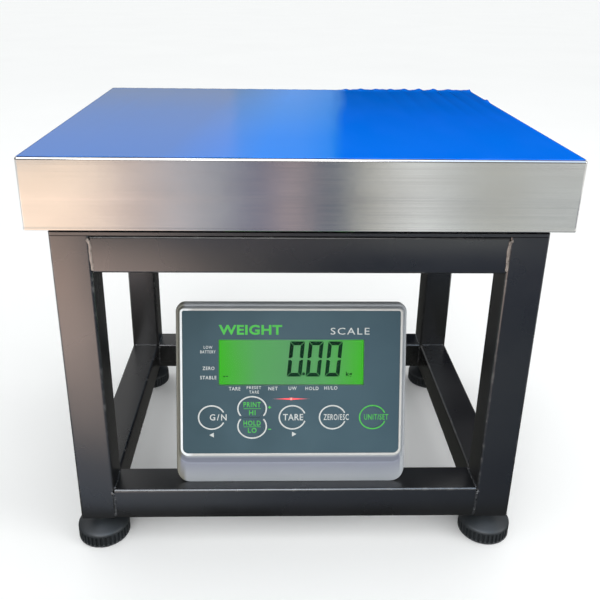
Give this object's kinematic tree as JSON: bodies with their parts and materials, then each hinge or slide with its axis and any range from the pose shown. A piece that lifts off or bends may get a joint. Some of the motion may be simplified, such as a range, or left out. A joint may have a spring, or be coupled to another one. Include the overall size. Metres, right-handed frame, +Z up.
{
  "type": "bench platform scale",
  "caption": "Platform scale: a folded stainless pan on a load cell over a welded square-tube stand with levelling feet, and a weighing indicator leaning on its lower front rail.",
  "frame": {"origin": "on the floor, under the middle of the pan", "axes": "+X to the right of a person reading the indicator, +Y away from that person, +Z up"},
  "size_m": [0.5, 0.4, 0.442],
  "materials": {
    "black_paint": "satin black coat on mild steel tube and plate",
    "stainless": "brushed stainless sheet",
    "blue_film": "glossy blue protective film",
    "zinc_steel": "zinc-plated steel",
    "cast_aluminium": "as-cast aluminium",
    "cell_aluminium": "machined aluminium",
    "black_plastic": "moulded black plastic",
    "black_rubber": "matt black rubber",
    "grey_plastic": "fine-textured grey moulding",
    "face_film": "printed matt film",
    "clear_plastic": "clear window",
    "green_screen": "backlit display",
    "board_green": "circuit board",
    "battery_grey": "battery case"
  },
  "bodies": {
    "stand": {"leg_front_left": "black_paint", "leg_front_right": "black_paint", "leg_back_left": "black_paint", "leg_back_right": "black_paint", "rail_upper_front": "black_paint", "rail_upper_back": "black_paint", "rail_upper_left": "black_paint", "rail_upper_right": "black_paint", "rail_lower_front": "black_paint", "rail_lower_back": "black_paint", "rail_lower_left": "black_paint", "rail_lower_right": "black_paint", "base_plate": "black_paint", "load_cell": "cell_aluminium", "spider": "cast_aluminium", "cell_bolt_fixed_front": "zinc_steel", "cell_bolt_fixed_back": "zinc_steel", "cell_bolt_free_front": "zinc_steel", "cell_bolt_free_back": "zinc_steel", "pad_front_left": "black_rubber", "pad_front_right": "black_rubber", "pad_back_left": "black_rubber", "pad_back_right": "black_rubber", "base_bolt_front_left": "zinc_steel", "base_bolt_front_right": "zinc_steel", "base_bolt_back_left": "zinc_steel", "base_bolt_back_right": "zinc_steel", "front_shell": "grey_plastic", "rear_shell": "grey_plastic", "face_sheet": "face_film", "screen_window": "clear_plastic", "display_module": "green_screen", "circuit_board": "board_green", "battery": "battery_grey", "cable_gland": "black_plastic", "power_inlet": "black_plastic", "switch_frame": "black_plastic", "case_screw_lower_left": "zinc_steel", "case_screw_lower_right": "zinc_steel", "case_screw_upper_left": "zinc_steel", "case_screw_upper_right": "zinc_steel", "indicator_bracket": "black_paint"},
    "pan": {"platter_pan": "stainless", "pan_film": "blue_film"},
    "foot_stud_front_left": {"foot_stud_front_left": "zinc_steel"},
    "foot_wheel_front_left": {"foot_wheel_front_left": "black_plastic"},
    "foot_stud_front_right": {"foot_stud_front_right": "zinc_steel"},
    "foot_wheel_front_right": {"foot_wheel_front_right": "black_plastic"},
    "foot_stud_back_left": {"foot_stud_back_left": "zinc_steel"},
    "foot_wheel_back_left": {"foot_wheel_back_left": "black_plastic"},
    "foot_stud_back_right": {"foot_stud_back_right": "zinc_steel"},
    "foot_wheel_back_right": {"foot_wheel_back_right": "black_plastic"},
    "key_gross_net": {"key_gross_net": "face_film"},
    "key_print": {"key_print": "face_film"},
    "key_hold": {"key_hold": "face_film"},
    "key_tare": {"key_tare": "face_film"},
    "key_zero": {"key_zero": "face_film"},
    "key_unit": {"key_unit": "face_film"},
    "power_rocker": {"power_rocker": "black_plastic"}
  },
  "joints": [
    {"name": "pan_lift", "type": "slide", "parent": "stand", "child": "pan", "axis": [0, 0, 1], "range_m": [0, 0.15]},
    {"name": "foot_travel_front_left", "type": "slide", "parent": "stand", "child": "foot_stud_front_left", "axis": [0, 0, 1], "range_m": [-0.015, 0.006]},
    {"name": "foot_turn_front_left", "type": "hinge", "parent": "foot_stud_front_left", "child": "foot_wheel_front_left", "pos_m": [-0.216, -0.161, 0.01], "axis": [0, 0, 1], "range_deg": [-3060, 1200]},
    {"name": "foot_travel_front_right", "type": "slide", "parent": "stand", "child": "foot_stud_front_right", "axis": [0, 0, 1], "range_m": [-0.015, 0.006]},
    {"name": "foot_turn_front_right", "type": "hinge", "parent": "foot_stud_front_right", "child": "foot_wheel_front_right", "pos_m": [0.216, -0.161, 0.01], "axis": [0, 0, 1], "range_deg": [-3060, 1200]},
    {"name": "foot_travel_back_left", "type": "slide", "parent": "stand", "child": "foot_stud_back_left", "axis": [0, 0, 1], "range_m": [-0.015, 0.006]},
    {"name": "foot_turn_back_left", "type": "hinge", "parent": "foot_stud_back_left", "child": "foot_wheel_back_left", "pos_m": [-0.216, 0.161, 0.01], "axis": [0, 0, 1], "range_deg": [-3060, 1200]},
    {"name": "foot_travel_back_right", "type": "slide", "parent": "stand", "child": "foot_stud_back_right", "axis": [0, 0, 1], "range_m": [-0.015, 0.006]},
    {"name": "foot_turn_back_right", "type": "hinge", "parent": "foot_stud_back_right", "child": "foot_wheel_back_right", "pos_m": [0.216, 0.161, 0.01], "axis": [0, 0, 1], "range_deg": [-3060, 1200]},
    {"name": "key_gross_net_press", "type": "slide", "parent": "stand", "child": "key_gross_net", "axis": [0, 0.9588, -0.284], "range_m": [0, 0.0006], "stiffness_N_per_m": 2500, "springref_m": -0.0002},
    {"name": "key_print_press", "type": "slide", "parent": "stand", "child": "key_print", "axis": [0, 0.9588, -0.284], "range_m": [0, 0.0006], "stiffness_N_per_m": 2500, "springref_m": -0.0002},
    {"name": "key_hold_press", "type": "slide", "parent": "stand", "child": "key_hold", "axis": [0, 0.9588, -0.284], "range_m": [0, 0.0006], "stiffness_N_per_m": 2500, "springref_m": -0.0002},
    {"name": "key_tare_press", "type": "slide", "parent": "stand", "child": "key_tare", "axis": [0, 0.9588, -0.284], "range_m": [0, 0.0006], "stiffness_N_per_m": 2500, "springref_m": -0.0002},
    {"name": "key_zero_press", "type": "slide", "parent": "stand", "child": "key_zero", "axis": [0, 0.9588, -0.284], "range_m": [0, 0.0006], "stiffness_N_per_m": 2500, "springref_m": -0.0002},
    {"name": "key_unit_press", "type": "slide", "parent": "stand", "child": "key_unit", "axis": [0, 0.9588, -0.284], "range_m": [0, 0.0006], "stiffness_N_per_m": 2500, "springref_m": -0.0002},
    {"name": "power_rocker_tip", "type": "hinge", "parent": "stand", "child": "power_rocker", "pos_m": [0.054, -0.09945, 0.09798], "axis": [0, 0.284, 0.9588], "range_deg": [-16, 0]}
  ],
  "couplings": [
    {"joint": "foot_travel_front_left", "follows": "foot_turn_front_left", "m_per_rad": 0.00027852},
    {"joint": "foot_travel_front_right", "follows": "foot_turn_front_right", "m_per_rad": 0.00027852},
    {"joint": "foot_travel_back_left", "follows": "foot_turn_back_left", "m_per_rad": 0.00027852},
    {"joint": "foot_travel_back_right", "follows": "foot_turn_back_right", "m_per_rad": 0.00027852}
  ]
}
